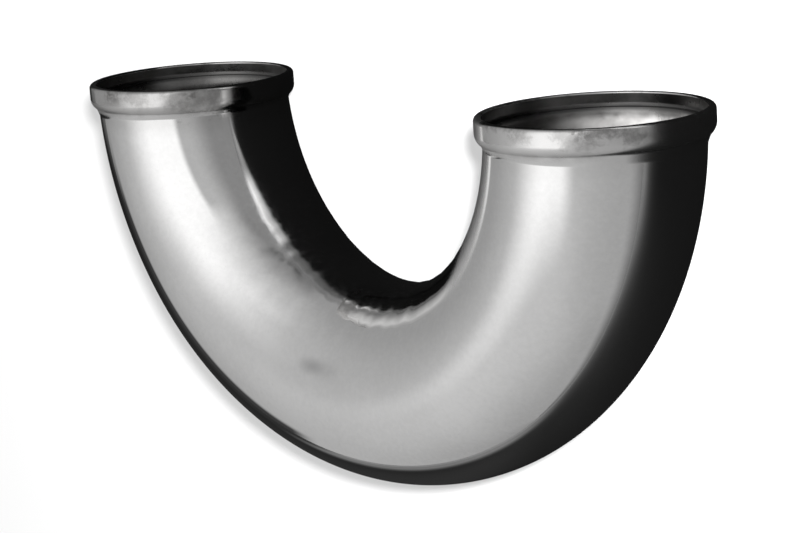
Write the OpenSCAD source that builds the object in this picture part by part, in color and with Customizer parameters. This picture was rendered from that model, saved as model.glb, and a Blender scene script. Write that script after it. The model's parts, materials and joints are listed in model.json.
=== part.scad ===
// Return bend: a polished tube turned through half a circle, with a rolled bead and a shallow
// socket at each mouth. It lies on its side, with both mouths facing +Y.

/* [Tube] */
// Outside diameter of the tube
tube_d = 41.3; // [34:0.1:50]
// Wall thickness of the tube
wall = 1.2; // [0.9:0.1:2.5]

/* [Bend] */
// Distance between the centre lines of the two legs
leg_centres = 117.5; // [90:0.1:180]
// How far each mouth stands beyond the end of the half circle
leg_len = 1.4; // [0:0.1:40]

/* [Bead] */
// How far the bead's side stands out from the tube
bead_proud = 1.6; // [1.3:0.05:4]
// Height of the bead, from the mouth down to the ledge under it
bead_h = 5.0; // [4.2:0.1:9]
// Height of the straight part of the bead's side
bead_band = 2.3; // [1:0.1:2.8]
// Width of the ledge under the bead
ledge = 0.15; // [0.05:0.05:0.4]

/* [Neck] */
// How far the neck under the bead stands out from the tube at its top
neck_proud = 0.55; // [0.3:0.05:0.8]
// Height over which the neck tapers down to the tube
neck_h = 1.5; // [0.8:0.1:3]

/* [Lip] */
// Radius that rounds the outer edge of the lip
lip_round = 0.8; // [0.3:0.05:1]
// Radius that rounds the inner edge of the lip
lead_in = 0.35; // [0.1:0.05:0.4]

/* [Socket] */
// Gap all round between the socket and a tube of the same outside diameter
socket_gap = 0.1; // [0.05:0.05:0.2]
// Depth of the socket, from the mouth down to the shoulder that stops the tube
socket_depth = 2.8; // [1.5:0.1:3.8]

/* [Hidden] */
$fn = 180;

tube_r = tube_d / 2;
bore_r = tube_r - wall;
bend_r = leg_centres / 2;
bead_r = tube_r + bead_proud;
socket_r = tube_r + socket_gap;

// Under the straight part the bead is rounded in by one arc that ends at the ledge
band_end = lip_round + bead_band;
under_h = bead_h - band_end;
under_in = bead_proud - neck_proud - ledge;
under_round = (under_h * under_h + under_in * under_in) / (2 * under_in);

// The neck's taper runs on into the tube's wall, so that the bend's curve never leaves it bare
root_r = tube_r - wall / 3;
neck_r = tube_r + neck_proud;
root_h = neck_h * (neck_r - root_r) / neck_proud;

// The part is centred on the origin along Y, and its beads rest on the plane z = 0
bend_y = (bend_r + tube_r - leg_len) / 2;

// Length by which a cut runs past a face
past = 1;

// Half section of the bead and its neck: the mouth is at y = 0 and the bead hangs below it
module bead_section() {
    translate([root_r, -bead_h])
        square([bead_r - under_in - root_r, bead_h - lip_round]);
    translate([root_r, -band_end])
        square([bead_r - root_r, bead_band]);
    translate([root_r, -band_end])
        square([bead_r - lip_round - root_r, band_end]);
    translate([bead_r - lip_round, -lip_round])
        circle(r = lip_round);
    intersection() {
        translate([bead_r - under_round, -band_end])
            circle(r = under_round);
        translate([root_r, -bead_h])
            square([bead_r - root_r, under_h]);
    }
    polygon([
        [root_r, -bead_h],
        [neck_r, -bead_h],
        [root_r, -bead_h - root_h]
    ]);
}

// Half section of what the socket and the rounded edge at its mouth take away
module socket_section() {
    translate([0, -socket_depth])
        square([socket_r, socket_depth + past]);
    difference() {
        translate([socket_r - past, -lead_in])
            square([lead_in + past, lead_in + past]);
        translate([socket_r + lead_in, -lead_in])
            circle(r = lead_in);
    }
}

// The straight end of the tube with the bead round it, from the end of the bend up to the mouth
module leg() {
    translate([0, 0, leg_len])
        rotate_extrude()
            bead_section();
    if (leg_len > 0)
        rotate_extrude()
            translate([bore_r, 0])
                square([wall, leg_len]);
}

module socket() {
    translate([0, 0, leg_len])
        rotate_extrude()
            socket_section();
}

// The half ring of tube that joins the two legs
module half_ring() {
    rotate([0, 0, 180])
        rotate_extrude(angle = 180)
            translate([bend_r, 0])
                difference() {
                    circle(r = tube_r);
                    circle(r = bore_r);
                }
}

// Stands a copy on each end of the half ring, facing +Y
module at_ends() {
    for (side = [-1, 1])
        translate([side * bend_r, 0, 0])
            rotate([-90, 0, 0])
                children();
}

module return_bend() {
    color([0.78, 0.78, 0.77])
        translate([0, bend_y, bead_r])
            difference() {
                union() {
                    half_ring();
                    at_ends() leg();
                }
                at_ends() socket();
            }
}

return_bend();
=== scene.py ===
"""Return bend: the polished tube with its two beaded mouths, lying on a pale floor."""
import json
import math

import bpy
import numpy as np
from mathutils import Matrix, Vector


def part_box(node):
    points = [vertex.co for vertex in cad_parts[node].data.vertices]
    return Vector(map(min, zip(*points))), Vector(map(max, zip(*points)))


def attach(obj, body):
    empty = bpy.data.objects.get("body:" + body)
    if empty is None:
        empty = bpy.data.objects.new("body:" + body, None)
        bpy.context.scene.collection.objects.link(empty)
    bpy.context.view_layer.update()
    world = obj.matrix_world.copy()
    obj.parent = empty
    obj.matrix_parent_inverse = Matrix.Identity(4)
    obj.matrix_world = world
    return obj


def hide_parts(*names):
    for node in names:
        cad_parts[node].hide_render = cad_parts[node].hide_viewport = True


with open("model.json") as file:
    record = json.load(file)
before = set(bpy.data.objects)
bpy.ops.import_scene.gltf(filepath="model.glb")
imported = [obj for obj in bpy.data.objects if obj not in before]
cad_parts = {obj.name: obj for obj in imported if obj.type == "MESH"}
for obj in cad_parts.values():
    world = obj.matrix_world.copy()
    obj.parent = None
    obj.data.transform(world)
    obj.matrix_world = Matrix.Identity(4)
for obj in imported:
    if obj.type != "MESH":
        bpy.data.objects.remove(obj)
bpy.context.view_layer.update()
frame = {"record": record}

MM = 0.001
BODY = "root"
NODE = "return_bend"

# Sizes of the collar's section that the frame does not give
WALL = 1.2 * MM
SOCKET_GAP = 0.1 * MM
SOCKET_DEPTH = 2.8 * MM
BEAD_H = 5.0 * MM
BEAD_BAND = 2.3 * MM
LEDGE = 0.15 * MM
NECK_PROUD = 0.55 * MM
NECK_H = 1.5 * MM
LIP_ROUND = 0.8 * MM
LEAD_IN = 0.35 * MM
# Half width of the tiny bevel that breaks each sharp edge
EDGE = 0.05 * MM

# What the frame gives
box_low, box_high = (Vector(corner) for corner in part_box(NODE))
sockets = {mount["name"]: mount for mount in frame["record"]["mounts"]}
BEND_R = sockets["right_socket"]["pos_m"][0]
AXIS_Z = sockets["right_socket"]["pos_m"][2]
SOCKET_R = sockets["right_socket"]["dims"]["r_mm"] * MM
MOUTH_Y = box_high.y
BEAD_R = box_high.z - AXIS_Z
TUBE_R = SOCKET_R - SOCKET_GAP
BORE_R = TUBE_R - WALL
BEND_Y = box_low.y + BEND_R + TUBE_R
LEG_LEN = MOUTH_Y - BEND_Y

# The arc under the bead, and the whole collar with its neck
NECK_R = TUBE_R + NECK_PROUD
BAND_END = LIP_ROUND + BEAD_BAND
UNDER_H = BEAD_H - BAND_END
UNDER_IN = BEAD_R - NECK_R - LEDGE
UNDER_ROUND = (UNDER_H**2 + UNDER_IN**2) / (2 * UNDER_IN)
COLLAR_H = BEAD_H + NECK_H

# Stations of the mesh: around the tube, along the bend outside and inside
AROUND = 180
BEND_OUT = 250
BEND_IN = 90
around = np.linspace(0, 2 * math.pi, AROUND, endpoint=False)
# Where the first rings beside each neck lie, as shares of the bend: closer than the even ones
CLOSE_RINGS = np.array([0.0, 0.0006, 0.0016])
EVEN_FROM = 0.004

# Heights of the unevenness of the polished outside: soft waves all over, ripples inside the bend
SOFT_WAVE = 0.010 * MM
RIPPLE = 0.040 * MM
RAGGED_RIPPLE = 0.008 * MM

# Stains on the beads: a place on the surface, its radius in mm and the share of dirt in its middle
STAINS = (
    ((-41.6, 39.2, 36.4), 2.6, 0.80),
    ((-39.2, 37.6, 32.8), 4.0, 0.50),
    ((-41.0, 38.2, 35.0), 11.0, 0.45),
    ((-52.0, 39.4, 43.4), 6.0, 0.38),
    ((74.3, 39.6, 38.2), 5.5, 0.60),
    ((77.7, 38.6, 33.8), 5.0, 0.55),
    ((68.8, 39.4, 41.9), 4.5, 0.35),
    ((71.2, 36.8, 40.7), 4.5, 0.30),
    ((61.4, 39.0, 44.3), 3.2, 0.40),
)
# They run round the bead, so each is flattened along the leg
STAIN_FORM = (1.0, 1.9, 1.0)
# A smudge on the belly with a fainter tail, drawn out from leg to leg
SMUDGES = (
    ((-3.8, -12.7, 41.7), 2.8, 0.36),
    ((0.6, -13.0, 41.8), 3.4, 0.20),
)
SMUDGE_FORM = (0.5, 1.0, 1.0)

# The studio, in metres and watts; the lamp's place is to the right of the camera, over it and behind it
FLOOR_HALF = 6.0
FLOOR_LEVEL = 0.5
FLOOR_PLAIN = 0.4
SHEET_Z = 0.2 * MM
LAMP_POWER = 50.0
LAMP_RADIUS = 0.016
LAMP_PLACE = Vector((0.016, 0.026, 0.06))

# The camera of the photograph
LENS_MM = 106.24
SENSOR_MM = 36.0
CAMERA_PLACE = Vector((0.346334, 0.107673, 0.339895))
CAMERA_FORWARD = Vector((-0.716097, -0.215244, -0.663984))
CAMERA_UP = Vector((-0.109420, 0.974122, -0.197773))


def arc(r, h, radius, start, end, steps):
    """Points of an arc, as distance from the leg's axis and height over the mouth.

    The angles are in degrees: 0 points outwards and 90 up.
    """
    angles = np.radians(np.linspace(start, end, steps + 1))
    return [(r + radius * math.cos(a), h + radius * math.sin(a)) for a in angles]


def straight(start, end, steps):
    """Points of a straight stretch that ends EDGE short of both corners, for a tiny bevel there."""
    a, b = np.array(start), np.array(end)
    step = (b - a) / np.linalg.norm(b - a) * EDGE
    return [tuple(p) for p in np.linspace(a + step, b - step, steps + 1)]


def leg_rows(points):
    """Rings of the right leg for points of its section."""
    r, h = (np.array(column)[:, None] for column in zip(*points))
    x = BEND_R + r * np.cos(around)
    y = np.broadcast_to(MOUTH_Y + h, x.shape)
    z = AXIS_Z + r * np.sin(around)
    return np.stack([x, y, z], 2)


def bend_rows(reach, turn):
    """Points of the half ring at a distance from its centre line.

    The turn along the bend is 0 at the right leg and pi at the left.
    """
    out = BEND_R + reach * np.cos(around)
    x = out * np.cos(turn)
    y = BEND_Y - out * np.sin(turn)
    z = np.broadcast_to(AXIS_Z + reach * np.sin(around), x.shape)
    return np.stack([x, y, z], 2)


def neck_foot():
    """The turn along the bend where the right neck's taper meets the tube, for each station around."""
    out = BEND_R + TUBE_R * np.cos(around)
    low = np.arcsin((BEAD_H - LEG_LEN) / out)
    high = np.arcsin((BEAD_H + 2 * NECK_H - LEG_LEN) / out)
    for _ in range(50):
        turn = (low + high) / 2
        depth = LEG_LEN + out * np.sin(turn)
        tube = np.hypot(out * np.cos(turn) - BEND_R, TUBE_R * np.sin(around))
        inside = tube < NECK_R - NECK_PROUD * (depth - BEAD_H) / NECK_H
        low = np.where(inside, turn, low)
        high = np.where(inside, high, turn)
    return turn


def neck_rows(foot, steps):
    """Rings of the right neck's taper, from just over its foot on the tube up to the ledge."""
    first = bend_rows(TUBE_R, foot[None, :])[0]
    foot_angle = np.arctan2(first[:, 2] - AXIS_Z, first[:, 0] - BEND_R)
    slip = (foot_angle - around + math.pi) % (2 * math.pi) - math.pi
    length = MOUTH_Y - BEAD_H - first[:, 1]
    share = np.linspace(1 - EDGE / NECK_H, EDGE / NECK_H, steps + 1)[:, None]
    turn = around + slip * share
    r = NECK_R - NECK_PROUD / NECK_H * length * share
    x = BEND_R + r * np.cos(turn)
    y = MOUTH_Y - BEAD_H - length * share
    z = AXIS_Z + r * np.sin(turn)
    return np.stack([x, y, z], 2)


def bead_rows():
    """Rings from the ledge under the right bead, up its side and over the lip to the socket's mouth."""
    turn = math.degrees(math.asin(UNDER_H / UNDER_ROUND))
    points = straight((NECK_R, -BEAD_H), (BEAD_R - UNDER_IN, -BEAD_H), 1)
    points += arc(BEAD_R - UNDER_ROUND, -BAND_END, UNDER_ROUND, -turn * 0.98, 0, 12)
    points += arc(BEAD_R - LIP_ROUND, -LIP_ROUND, LIP_ROUND, 0, 90, 12)
    points += arc(SOCKET_R + LEAD_IN, -LEAD_IN, LEAD_IN, 90, 180, 8)
    return leg_rows(points)


def socket_rows():
    """Rings down the right socket and over its shoulder to the edge of the bore."""
    points = straight((SOCKET_R, -LEAD_IN), (SOCKET_R, -SOCKET_DEPTH), 3)
    points += straight((SOCKET_R, -SOCKET_DEPTH), (BORE_R, -SOCKET_DEPTH), 3)
    return leg_rows(points)


def waves(along, seed, count, turns, lengths):
    """A seeded sum of ripples, about -1 to 1.

    turns limits how often a ripple goes round the tube, and lengths limits its length along it.
    """
    rng = np.random.default_rng(seed)
    total_height = np.zeros((len(along), AROUND))
    for _ in range(count):
        m = int(rng.integers(turns[0], turns[1] + 1))
        k = 2 * math.pi / rng.uniform(*lengths) * rng.choice((-1, 1))
        total_height += np.cos(m * around + k * along + rng.uniform(0, 2 * math.pi))
    return total_height / math.sqrt(count)


def polish(turn):
    """How far the polished outside departs from a true form: soft waves, and ripples inside the bend."""
    along = (turn * BEND_R).mean(1, keepdims=True)
    ends = np.clip(np.minimum(turn, math.pi - turn) / 0.35 - 0.25, 0, 1)
    soft = waves(along, 3, 14, (0, 4), (30 * MM, 90 * MM)) * SOFT_WAVE
    inner = np.clip(-np.cos(around) - 0.5, 0, None) / 0.5
    low = np.clip((np.sin(turn) - 0.45) / 0.4, 0, 1)
    ripples = waves(along, 5, 18, (0, 9), (6 * MM, 20 * MM)) * RIPPLE
    ragged = waves(along, 8, 16, (0, 26), (3 * MM, 8 * MM)) * RAGGED_RIPPLE
    return ends * soft + inner * low * (ripples + ragged)


def mirrored(rows):
    """The same rings on the other leg, in the other order."""
    return (rows * (-1, 1, 1))[::-1]


def outside_rows():
    """Rings of the outside, from the left mouth down its collar, round the bend and up the right collar."""
    foot = neck_foot()
    clear = foot + EDGE / BEND_R
    even = np.linspace(EVEN_FROM, 1 - EVEN_FROM, BEND_OUT)
    share = np.concatenate([CLOSE_RINGS, even, 1 - CLOSE_RINGS[::-1]])
    turn = clear + share[::-1, None] * (math.pi - 2 * clear)
    tube = bend_rows(TUBE_R + polish(turn), turn)
    collar = np.concatenate([neck_rows(foot, 6), bead_rows()])
    return np.concatenate([mirrored(collar), tube, collar])


def inside_rows():
    """Rings of the inside, from the right socket through the bore to the left socket."""
    shoulder = np.arcsin((SOCKET_DEPTH - LEG_LEN) / (BEND_R + BORE_R * np.cos(around))) + EDGE / BEND_R
    turn = shoulder + np.linspace(0, 1, BEND_IN)[:, None] * (math.pi - 2 * shoulder)
    bore = bend_rows(BORE_R, turn)
    socket = socket_rows()
    return np.concatenate([socket, bore, mirrored(socket)])


def build_bend():
    """The whole tube as one closed skin: outside from the left mouth to the right one, and back inside."""
    outside = outside_rows()
    rings = np.concatenate([outside, inside_rows()])
    n, m = len(rings), AROUND
    i, j = np.meshgrid(np.arange(n), np.arange(m), indexing="ij")
    i2, j2 = (i + 1) % n, (j + 1) % m
    quads = np.stack([i * m + j, i2 * m + j, i2 * m + j2, i * m + j2], 2).reshape(-1, 4)
    mesh = bpy.data.meshes.new("bend_skin")
    mesh.from_pydata(rings.reshape(-1, 3).tolist(), [], quads.tolist())

    row = np.arange(n)
    inner = (row >= len(outside) - 1) & (row < n - 1)
    mesh.polygons.foreach_set("material_index", np.repeat(inner.astype(np.int32), m))
    mesh.shade_smooth()
    add_map(mesh, rings)
    mesh.update()
    piece = bpy.data.objects.new("bend_skin", mesh)
    bpy.context.scene.collection.objects.link(piece)
    return piece


def add_map(mesh, rings):
    """The skin laid out flat: across is the way round the tube, up is the way along it."""
    layer = mesh.uv_layers.new(name="OFBake")
    n, m = rings.shape[:2]
    i, j = np.meshgrid(np.arange(n), np.arange(m), indexing="ij")
    step = np.linalg.norm(np.roll(rings, -1, 0) - rings, axis=2).mean(1)
    edge = np.concatenate([[0.0], np.cumsum(step)]) / step.sum()
    corners = np.stack([
        np.stack([j / m, edge[i]], 2), np.stack([j / m, edge[i + 1]], 2),
        np.stack([(j + 1) / m, edge[i + 1]], 2), np.stack([(j + 1) / m, edge[i]], 2),
    ], 2)
    layer.uv.foreach_set("vector", corners.astype(np.float32).ravel())


def node(tree, kind, inputs=None, **settings):
    """Adds a shader node; each input is a number, a colour or another node's output."""
    made = tree.nodes.new("ShaderNode" + kind)
    for name, value in settings.items():
        setattr(made, name, value)
    for key, value in (inputs or {}).items():
        if isinstance(value, bpy.types.NodeSocket):
            tree.links.new(value, made.inputs[key])
        else:
            made.inputs[key].default_value = value
    return made


def calc(tree, operation, *values):
    """One step of arithmetic on numbers or outputs."""
    return node(tree, "Math", dict(enumerate(values)), operation=operation).outputs[0]


def chain(tree, operation, values):
    """The same step of arithmetic over a row of values."""
    result = values[0]
    for value in values[1:]:
        result = calc(tree, operation, result, value)
    return result


def total(tree, *values):
    """The sum of the values."""
    return chain(tree, "ADD", values)


def minus(tree, *values):
    """The first value less the others."""
    return chain(tree, "SUBTRACT", values)


def product(tree, *values):
    """The values multiplied."""
    return chain(tree, "MULTIPLY", values)


def largest(tree, *values):
    """The largest of the values."""
    return chain(tree, "MAXIMUM", values)


def hypotenuse(tree, a, b):
    """How far off a point is whose distances along two axes are a and b."""
    return calc(tree, "SQRT", total(tree, product(tree, a, a), product(tree, b, b)))


def ease(tree, value, start, end, low=0.0, high=1.0):
    """Goes smoothly from low to high while value goes from start to end."""
    inputs = {0: value, 1: start, 2: end, 3: low, 4: high}
    return node(tree, "MapRange", inputs, interpolation_type="SMOOTHSTEP").outputs[0]


def noise(tree, vector, scale, detail=3.0, rough=0.5):
    """Cloudy noise, about 0.3 to 0.7."""
    inputs = {"Vector": vector, "Scale": scale, "Detail": detail, "Roughness": rough}
    return node(tree, "TexNoise", inputs).outputs[0]


def blend_colour(tree, share, a, b):
    """Colour a where share is 0 and b where it is 1."""
    return node(tree, "Mix", {0: share, 6: a, 7: b}, data_type="RGBA").outputs[2]


def grey(level, warmth=0.0):
    """A grey of some level, a little warm if asked."""
    return (level * (1 + warmth), level, level * (1 - warmth), 1.0)


def new_material(name):
    """A material with its node tree and its shader."""
    material = bpy.data.materials.new(name)
    material.use_nodes = True
    tree = material.node_tree
    return material, tree, tree.nodes["Principled BSDF"]


def surface_place(tree):
    """The place on the surface, its parts along the axes and its depth under the mouths."""
    place = node(tree, "TexCoord").outputs["Object"]
    xyz = node(tree, "SeparateXYZ", {0: place}).outputs
    return place, xyz, minus(tree, MOUTH_Y, xyz["Y"])


def on_right_leg(tree, x):
    """1 on the right half of the bend and 0 on the left."""
    return ease(tree, x, -30 * MM, 30 * MM)


def spot(tree, place, centre, radius, form, ragged):
    """1 at a point of the surface, fading to 0 round it.

    form flattens the spot along the axes, and the noise ragged breaks up its edge.
    """
    middle = [c * MM for c in centre]
    size = radius * MM
    way = node(tree, "VectorMath", {0: place, 1: middle}, operation="SUBTRACT").outputs[0]
    way = node(tree, "VectorMath", {0: way, 1: form}, operation="MULTIPLY").outputs[0]
    reach = node(tree, "VectorMath", {0: way}, operation="LENGTH").outputs["Value"]
    reach = total(tree, reach, ease(tree, ragged, 0.3, 0.7, 0.6 * size, -0.4 * size))
    return ease(tree, reach, size, 0.1 * size)


def collar_dirt_and_shade(tree, place, depth, cloud, fine):
    """Share of dirt and painted shade: stains on the beads, dirt patches under the lips and painted shade
    in the crease under each bead.
    """
    near_lip = ease(tree, depth, 4.0 * MM, 0.4 * MM)
    patches = product(tree, near_lip, ease(tree, cloud, 0.50, 0.68), ease(tree, fine, 0.3, 0.6), 0.8)
    # Painted shade: a faint darker trace in the crease under each bead, broken up by the noise.
    crease_shade = product(tree, ease(tree, depth, BEAD_H - 0.8 * MM, BEAD_H),
                     ease(tree, depth, COLLAR_H, BEAD_H), ease(tree, cloud, 0.40, 0.60), 0.25)
    dirt_and_shade = largest(tree, patches, crease_shade)
    speckle = noise(tree, place, 330.0, 4.0, 0.65)
    for centre, radius, share in STAINS:
        stain = spot(tree, place, centre, radius, STAIN_FORM, speckle)
        dirt_and_shade = largest(tree, dirt_and_shade, product(tree, stain, share))
    return product(tree, dirt_and_shade, ease(tree, fine, 0.25, 0.6, 0.55, 1.0))


def belly_smudge(tree, place):
    """Share of the smudge on the belly."""
    smear = 0.0
    for centre, radius, share in SMUDGES:
        mark = spot(tree, place, centre, radius, SMUDGE_FORM, 0.5)
        smear = total(tree, smear, product(tree, mark, share))
    return smear


def collar_dulling(tree, depth, cloud, haze):
    """How dull the chrome is: most on the collars, less on the tube below them."""
    collar = ease(tree, depth, COLLAR_H, BEAD_H - 0.7 * MM)
    blotched = product(tree, collar, ease(tree, cloud, 0.3, 0.7, 0.7, 1.0))
    clouded = product(tree, ease(tree, depth, 16.0 * MM, COLLAR_H), ease(tree, haze, 0.45, 0.65), 0.35)
    return largest(tree, blotched, clouded, ease(tree, depth, 11.0 * MM, COLLAR_H, 0.0, 0.4))


def worn_places(tree, x, y, depth, fine):
    """Roughness where the polish is worn: inside the bend and under the front of each bead."""
    ring = hypotenuse(tree, x, minus(tree, y, BEND_Y))
    inside = product(tree, ease(tree, ring, BEND_R - 0.70 * TUBE_R, BEND_R - 0.92 * TUBE_R),
                     ease(tree, depth, 10 * MM, 30 * MM), ease(tree, fine, 0.3, 0.7, 0.04, 0.13))
    right_leg = product(tree, ease(tree, x, 31 * MM, 38 * MM),
                        ease(tree, ring, BEND_R - 0.36 * TUBE_R, BEND_R - 0.56 * TUBE_R), 0.30)
    left_front = ease(tree, x, -39 * MM, -45 * MM)
    right_front = product(tree, on_right_leg(tree, x), ease(tree, x, 73 * MM, 64 * MM))
    front = largest(tree, left_front, right_front)
    under = product(tree, ease(tree, depth, BAND_END - 0.2 * MM, BAND_END + 0.5 * MM),
                    ease(tree, depth, COLLAR_H, BEAD_H + 0.5 * MM), front, 0.38)
    return largest(tree, inside, right_leg, under)


def chrome():
    """Mirror chrome with faint polishing marks, and dull collars with dirt and stains round the lips and
    painted shade in the crease under each bead.
    """
    material, tree, shader = new_material("mirror_chrome")
    place, xyz, depth = surface_place(tree)
    to_right = on_right_leg(tree, xyz["X"])
    cloud = noise(tree, place, 110.0, 4.0, 0.6)
    fine = noise(tree, place, 900.0, 3.0, 0.6)
    haze = noise(tree, place, 45.0, 4.0, 0.55)
    dirt_and_shade = collar_dirt_and_shade(tree, place, depth, cloud, fine)
    dulled = collar_dulling(tree, depth, cloud, haze)

    dull = blend_colour(tree, to_right, grey(0.50, 0.012), grey(0.66, 0.008))
    mottle = total(tree, product(tree, haze, 0.6), product(tree, fine, 0.4))
    bright = blend_colour(tree, ease(tree, mottle, 0.35, 0.65), grey(0.745, 0.004), grey(0.805, 0.004))
    clean = blend_colour(tree, dulled, bright, dull)
    smudged = blend_colour(tree, belly_smudge(tree, place), clean, grey(0.2))
    # Stains and dirt, together with the painted shade in the crease under each bead.
    colour = blend_colour(tree, dirt_and_shade, smudged, grey(0.14, 0.03))
    tree.links.new(colour, shader.inputs["Base Color"])

    blur = total(tree, ease(tree, to_right, 0.0, 1.0, 0.12, 0.07),
                 ease(tree, xyz["X"], 66 * MM, 78 * MM, 0.0, 0.12))
    rough = total(tree, ease(tree, haze, 0.35, 0.75, 0.025, 0.06),
                  largest(tree, product(tree, dirt_and_shade, 0.3), product(tree, dulled, blur),
                          worn_places(tree, xyz["X"], xyz["Y"], depth, fine)))
    tree.links.new(rough, shader.inputs["Roughness"])
    shader.inputs["Metallic"].default_value = 1.0

    spread = node(tree, "UVMap", uv_map="OFBake").outputs["UV"]
    strokes = node(tree, "Mapping", {"Vector": spread, "Scale": (520.0, 9.0, 1.0)}).outputs[0]
    marks = noise(tree, strokes, 1.0, 2.0)
    bump = node(tree, "Bump", {"Strength": 0.03, "Distance": 0.02 * MM, "Height": marks})
    tree.links.new(bump.outputs[0], shader.inputs["Normal"])
    return material


def bore_darkening(tree, to_right, side, depth, cloud):
    """Share of darkening: a band at the shoulder of each socket, and one side of the right mouth."""
    one_side = product(tree, to_right, ease(tree, side, -7 * MM, -17 * MM),
                       ease(tree, cloud, 0.35, 0.60, 0.75, 1.0), 0.9)
    shoulder = product(tree, ease(tree, depth, SOCKET_DEPTH - 0.9 * MM, SOCKET_DEPTH - 0.2 * MM),
                       ease(tree, depth, SOCKET_DEPTH + 0.9 * MM, SOCKET_DEPTH + 0.2 * MM),
                       ease(tree, cloud, 0.35, 0.60, 0.6, 1.0), 0.75)
    return largest(tree, one_side, shoulder)


def bore_metal():
    """The unpolished inside of the tube: dark and mottled, darker in places, with painted light on one
    side: a pale, less metallic patch.
    """
    material, tree, shader = new_material("dull_bore")
    place, xyz, depth = surface_place(tree)
    to_right = on_right_leg(tree, xyz["X"])
    cloud = noise(tree, place, 90.0, 5.0, 0.6)
    grain = noise(tree, place, 1400.0, 3.0, 0.6)
    tint = total(tree, product(tree, cloud, 0.88), product(tree, grain, 0.12))
    metal = blend_colour(tree, ease(tree, tint, 0.35, 0.65), grey(0.17, 0.02), grey(0.30, 0.01))

    across = minus(tree, calc(tree, "ABSOLUTE", xyz["X"]), BEND_R)
    across = product(tree, across, calc(tree, "SIGN", xyz["X"]))
    side = minus(tree, across, minus(tree, xyz["Z"], AXIS_Z))
    amount = total(tree, 0.10, product(tree, to_right, 0.8))
    # Painted light: a pale patch on one side of the bore under each socket, fullest in the right leg.
    painted_light_patch = product(tree, ease(tree, side, -20 * MM, 24 * MM), ease(tree, depth, 2.5 * MM, 5.5 * MM),
                    ease(tree, cloud, 0.30, 0.60, 0.55, 1.0), amount)
    # Darker at each socket's shoulder and on one side of the right mouth.
    darkened_metal = blend_colour(tree, bore_darkening(tree, to_right, side, depth, cloud), metal, grey(0.04))
    colour = blend_colour(tree, painted_light_patch, darkened_metal, grey(0.56, 0.015))
    tree.links.new(colour, shader.inputs["Base Color"])
    tree.links.new(ease(tree, cloud, 0.3, 0.7, 0.24, 0.38), shader.inputs["Roughness"])
    tree.links.new(ease(tree, painted_light_patch, 0.0, 1.0, 1.0, 0.35), shader.inputs["Metallic"])
    bump = node(tree, "Bump", {"Strength": 0.1, "Distance": 0.05 * MM, "Height": grain})
    tree.links.new(bump.outputs[0], shader.inputs["Normal"])
    return material


def make_matt(shader):
    """Takes all gloss from a surface of the studio."""
    shader.inputs["Roughness"].default_value = 1.0
    shader.inputs["Specular IOR Level"].default_value = 0.0


def pale_floor():
    """The matt floor that takes the shadow; a share of it is plain white wherever it is seen."""
    material, tree, shader = new_material("floor")
    make_matt(shader)
    shader.inputs["Base Color"].default_value = grey(FLOOR_LEVEL)
    path = node(tree, "LightPath").outputs
    seen = largest(tree, path["Is Camera Ray"], path["Is Glossy Ray"], path["Is Transmission Ray"])
    plain = node(tree, "Emission", {"Color": grey(1.0), "Strength": 1.0}).outputs[0]
    share = product(tree, seen, FLOOR_PLAIN)
    both = node(tree, "MixShader", {0: share, 1: shader.outputs[0], 2: plain}).outputs[0]
    tree.links.new(both, tree.nodes["Material Output"].inputs["Surface"])
    return material


def dark_sheet():
    """A dark sheet round the part, seen only in reflections: painted shade, nearly black, beside it, paler
    farther off, white before the mouths and glowing as painted light ahead of them.
    """
    material, tree, shader = new_material("dark_sheet")
    make_matt(shader)
    place = node(tree, "NewGeometry").outputs["Position"]
    xyz = node(tree, "SeparateXYZ", {0: place}).outputs
    x, y = xyz["X"], xyz["Y"]
    off = minus(tree, y, BEND_Y)
    reach = hypotenuse(tree, x, off)
    # 1 straight ahead of the mouths, 0 beside the part and -1 behind it
    tilt = calc(tree, "DIVIDE", off, reach)
    left = ease(tree, calc(tree, "DIVIDE", x, reach), 0.3, -0.15)
    right = minus(tree, 1.0, left)
    haze = ease(tree, reach, 0.4, 1.6)

    # Painted shade: the sheet is nearly black right beside the part.
    painted_shade_beside = total(tree, ease(tree, y, 0.02, -0.12, 0.0023, 0.0068),
                 product(tree, left, ease(tree, reach, 0.085, 0.105), 0.0055))
    start = ease(tree, y, 0.02, -0.06, 0.17, 0.26)
    pale_left = product(tree, ease(tree, reach, start, product(tree, start, 2.1)), 0.15)
    band = product(tree, ease(tree, tilt, -0.08, -0.24), ease(tree, tilt, -0.74, -0.65), 0.9)
    far_left = product(tree, left, minus(tree, 1.0, band), ease(tree, tilt, 0.72, 0.88, 1.0, 0.5),
                       total(tree, product(tree, haze, 0.20), pale_left))
    pale_right = product(tree, ease(tree, reach, 0.14, 0.6), 0.03)
    far_right = product(tree, right, total(tree, product(tree, haze, 0.22), pale_right))
    ahead = product(tree, ease(tree, tilt, 0.50, 0.82), minus(tree, 1.0, product(tree, left, 0.88)))
    before = product(tree, ease(tree, y, 0.10, 0.16), ease(tree, ahead, 0.0, 1.0, 0.04, 0.14))
    level = largest(tree, total(tree, painted_shade_beside, far_left, far_right), before)
    shade = node(tree, "CombineColor", {0: level, 1: level, 2: level}).outputs[0]
    tree.links.new(shade, shader.inputs["Base Color"])

    # Painted light: the sheet glows white ahead of the mouths, though it is no lamp.
    glow = product(tree, ahead, ease(tree, y, 0.15, 0.5), ease(tree, tilt, 0.99, 0.95, 0.4, 1.0), 0.65)
    shader.inputs["Emission Color"].default_value = grey(1.0)
    tree.links.new(glow, shader.inputs["Emission Strength"])
    return material


def sheet_plane(name, z, material):
    """A level square of the studio, as large as the floor."""
    mesh = bpy.data.meshes.new(name)
    low, high = -FLOOR_HALF, FLOOR_HALF
    mesh.from_pydata([(low, low, z), (high, low, z), (high, high, z), (low, high, z)], [], [(0, 1, 2, 3)])
    mesh.materials.append(material)
    plane = bpy.data.objects.new(name, mesh)
    bpy.context.scene.collection.objects.link(plane)
    return plane


def only_in_reflections(card):
    """Hides a card from everything but the polished metal."""
    card.visible_camera = False
    card.visible_diffuse = False
    card.visible_shadow = False


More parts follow.
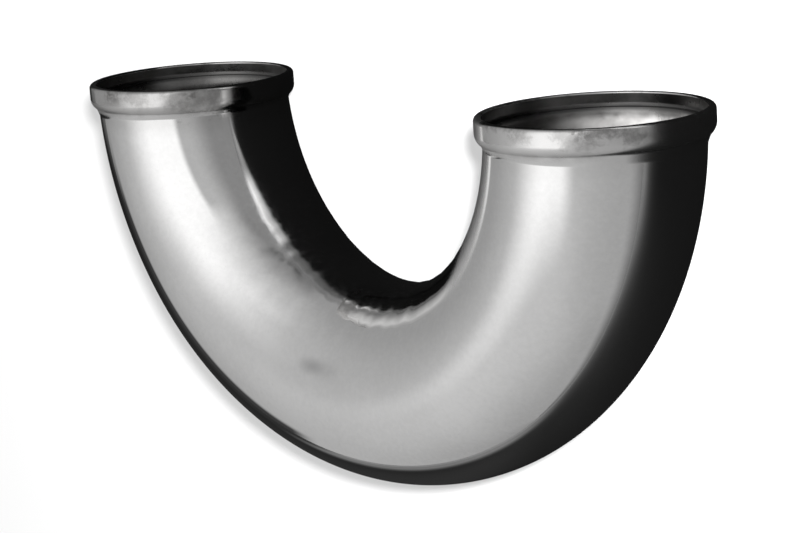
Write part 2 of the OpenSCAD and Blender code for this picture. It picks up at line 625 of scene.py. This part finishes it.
def sky_level(tree, lon, lat):
    """Brightness of the sky by direction.

    lon is 0 overhead and goes up to the right, lat goes up to where the mouths face, both in degrees.
    """
    low = ease(tree, lat, -2, -14)
    sink = ease(tree, lat, 5, -27)
    high = ease(tree, lat, 30, 44)

    # The white panel overhead, whose edges lean, and its glow further down
    left_lon = total(tree, lon, total(tree, product(tree, sink, 13.0), product(tree, high, 7.0)))
    edge_from = minus(tree, 22.0, product(tree, low, 18.0), product(tree, high, 14.0))
    edge_to = total(tree, minus(tree, 30.0, product(tree, low, 8.0)), product(tree, high, 26.0))
    white = product(tree, ease(tree, left_lon, -45, -3), ease(tree, lon, edge_to, edge_from),
                    ease(tree, lat, -33, -9), ease(tree, lat, 72, 16), 0.72)
    glow = product(tree, ease(tree, lon, -85, -25), ease(tree, lon, 40, 0),
                   ease(tree, lat, -66, -28), sink, 0.12)

    # The greyer parts: to the right and ahead, low on the right, on the left and behind the bend
    grey_panel = product(tree, ease(tree, lon, 36, 68), ease(tree, lat, -14, -2), 0.27)
    top = product(tree, ease(tree, lat, 58, 84), 0.27)
    top_right = product(tree, ease(tree, lon, 8, 38), ease(tree, lon, 72, 48),
                        ease(tree, lat, 42, 66), 0.12)
    shade = product(tree, ease(tree, lon, 15, 75, 0.0, 0.12), ease(tree, lat, -80, -58, 0.1, 1.0))
    right = product(tree, low, total(tree, shade, ease(tree, lon, 76, 94, 0.0, 0.24)))
    left = product(tree, ease(tree, lon, -35, -85), ease(tree, lat, -50, 0, 0.06, 0.18))
    foot = product(tree, ease(tree, lat, -50, -90), 0.16)
    rise = product(tree, ease(tree, lat, -8, -18), ease(tree, lat, -41, -36),
                   ease(tree, lon, -79, -87), 0.5)

    bright = total(tree, 0.56, total(tree, white, glow))
    level = minus(tree, bright, largest(tree, grey_panel, top), right, left, top_right, foot, rise)
    return largest(tree, level, 0.05)


def studio_sky():
    """Soft light all round: pale grey, with a white panel overhead and a greyer one to the right of it."""
    world = bpy.data.worlds.new("studio")
    bpy.context.scene.world = world
    world.use_nodes = True
    tree = world.node_tree
    back = tree.nodes["Background"]
    xyz = node(tree, "SeparateXYZ", {0: node(tree, "TexCoord").outputs["Generated"]}).outputs
    lon = calc(tree, "DEGREES", calc(tree, "ARCTAN2", xyz["X"], xyz["Z"]))
    lat = calc(tree, "DEGREES", calc(tree, "ARCSINE", xyz["Y"]))
    back.inputs["Color"].default_value = grey(1.0)
    tree.links.new(sky_level(tree, lon, lat), back.inputs["Strength"])


def key_light(camera):
    """A small lamp close behind the camera: it lights the floor and leaves a short soft shadow."""
    lamp = bpy.data.lights.new("key", "POINT")
    lamp.energy = LAMP_POWER
    lamp.shadow_soft_size = LAMP_RADIUS
    light = bpy.data.objects.new("key", lamp)
    light.location = camera.matrix_world @ LAMP_PLACE
    light.visible_glossy = False
    bpy.context.scene.collection.objects.link(light)


def photo_camera():
    """The camera where the photograph was taken from."""
    data = bpy.data.cameras.new("camera")
    data.sensor_width = SENSOR_MM
    data.lens = LENS_MM
    data.clip_start = 0.01
    data.clip_end = 100.0
    camera = bpy.data.objects.new("camera", data)
    forward = CAMERA_FORWARD.normalized()
    right = forward.cross(CAMERA_UP).normalized()
    up = right.cross(forward)
    turn = Matrix((right, up, -forward)).transposed().to_4x4()
    camera.matrix_world = Matrix.Translation(CAMERA_PLACE) @ turn
    bpy.context.scene.collection.objects.link(camera)
    bpy.context.scene.camera = camera
    return camera


bpy.context.scene.view_settings.view_transform = "Standard"

bend = build_bend()
bend.data.materials.append(chrome())
bend.data.materials.append(bore_metal())
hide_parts(NODE)
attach(bend, BODY)

sheet_plane("floor", 0.0, pale_floor())
only_in_reflections(sheet_plane("dark_sheet", SHEET_Z, dark_sheet()))
studio_sky()
key_light(photo_camera())
